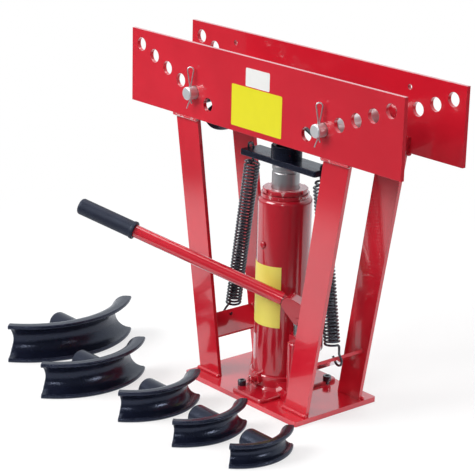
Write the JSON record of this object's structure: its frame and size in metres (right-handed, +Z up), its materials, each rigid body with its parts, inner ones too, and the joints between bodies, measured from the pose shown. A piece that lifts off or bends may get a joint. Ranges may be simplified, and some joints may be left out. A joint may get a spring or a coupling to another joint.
{
  "type": "pipe bender",
  "caption": "Hand-pumped hydraulic pipe bender: red steel frame with bottle jack, return springs, pinned rollers and a set of cast dies for different pipe sizes.",
  "frame": {"origin": "on the floor under the middle of the base plate", "axes": "+X along the side plates to the right as seen from the front, +Y from front to back, +Z up"},
  "size_m": [0.6817, 0.403, 0.528],
  "materials": {
    "red_paint": "gloss",
    "black_cast": "semi-gloss",
    "bare_steel": "satin",
    "black_steel": "satin",
    "black_rubber": "matte"
  },
  "bodies": {
    "frame": {"base_plate": "red_paint", "front_plate": "red_paint", "back_plate": "red_paint", "leg_front_left": "red_paint", "leg_front_right": "red_paint", "leg_back_left": "red_paint", "leg_back_right": "red_paint", "brace_left": "red_paint", "brace_right": "red_paint", "jack_base": "red_paint", "jack_tank": "red_paint", "head_nut": "red_paint", "pump_body": "red_paint", "link_straps": "red_paint", "anchor_pin": "red_paint", "fulcrum_pin": "red_paint", "pump_gland": "red_paint", "filler_plug": "red_paint", "jack_cylinder": "bare_steel", "spring_left": "black_steel", "spring_right": "black_steel", "jack_bolts": "black_steel", "rod_seal": "black_rubber"},
    "ram": {"ram": "bare_steel", "ram_piston": "bare_steel", "spring_crossbar": "black_cast", "die_saddle": "black_cast", "fitted_die": "black_cast"},
    "lever": {"fork_lever": "red_paint", "plunger_pin": "red_paint"},
    "handle": {"handle_tube": "red_paint", "handle_grip": "black_rubber"},
    "plunger": {"pump_plunger": "bare_steel"},
    "valve": {"release_valve": "red_paint"},
    "pin_left": {"roller_pin_left": "bare_steel", "clip_left": "bare_steel"},
    "roller_left": {"roller_left": "bare_steel"},
    "pin_right": {"roller_pin_right": "bare_steel", "clip_right": "bare_steel"},
    "roller_right": {"roller_right": "bare_steel"},
    "loose_die_1": {"die_1": "black_cast"},
    "loose_die_2": {"die_2": "black_cast"},
    "loose_die_3": {"die_3": "black_cast"},
    "loose_die_4": {"die_4": "black_cast"},
    "loose_die_5": {"die_5": "black_cast"}
  },
  "joints": [
    {"name": "ram_lift", "type": "slide", "parent": "frame", "child": "ram", "axis": [0, 0, 1], "range_m": [-0.034, 0.0035], "deforming": ["spring_left", "spring_right"]},
    {"name": "lever_swing", "type": "hinge", "parent": "frame", "child": "lever", "pos_m": [0.09061, -0.01242, 0.15012], "axis": [-0.515, 0.8572, 0], "range_deg": [0, 35]},
    {"name": "handle_pull", "type": "slide", "parent": "lever", "child": "handle", "axis": [-0.8152, -0.4898, 0.309], "range_m": [0, 0.12]},
    {"name": "plunger_stroke", "type": "slide", "parent": "frame", "child": "plunger", "axis": [0, 0, 1], "range_m": [0, 0.0163]},
    {"name": "valve_turn", "type": "hinge", "parent": "frame", "child": "valve", "pos_m": [0, -0.055, 0.028], "axis": [0, -1, 0], "range_deg": [0, 270]},
    {"name": "pin_turn_left", "type": "hinge", "parent": "frame", "child": "pin_left", "pos_m": [-0.1436, 0, 0.4522], "axis": [0, 1, 0], "continuous": true},
    {"name": "roller_spin_left", "type": "hinge", "parent": "pin_left", "child": "roller_left", "pos_m": [-0.1436, 0, 0.4522], "axis": [0, 1, 0], "continuous": true},
    {"name": "pin_turn_right", "type": "hinge", "parent": "frame", "child": "pin_right", "pos_m": [0.1436, 0, 0.4522], "axis": [0, 1, 0], "continuous": true},
    {"name": "roller_spin_right", "type": "hinge", "parent": "pin_right", "child": "roller_right", "pos_m": [0.1436, 0, 0.4522], "axis": [0, 1, 0], "continuous": true},
    {"name": "die_1_lift", "type": "slide", "parent": "frame", "child": "loose_die_1", "axis": [0, 0, 1], "range_m": [0, 0.12]},
    {"name": "die_2_lift", "type": "slide", "parent": "frame", "child": "loose_die_2", "axis": [0, 0, 1], "range_m": [0, 0.12]},
    {"name": "die_3_lift", "type": "slide", "parent": "frame", "child": "loose_die_3", "axis": [0, 0, 1], "range_m": [0, 0.12]},
    {"name": "die_4_lift", "type": "slide", "parent": "frame", "child": "loose_die_4", "axis": [0, 0, 1], "range_m": [0, 0.12]},
    {"name": "die_5_lift", "type": "slide", "parent": "frame", "child": "loose_die_5", "axis": [0, 0, 1], "range_m": [0, 0.12]}
  ],
  "couplings": [
    {"joint": "plunger_stroke", "follows": "lever_swing", "m_per_rad": 0.026582}
  ]
}
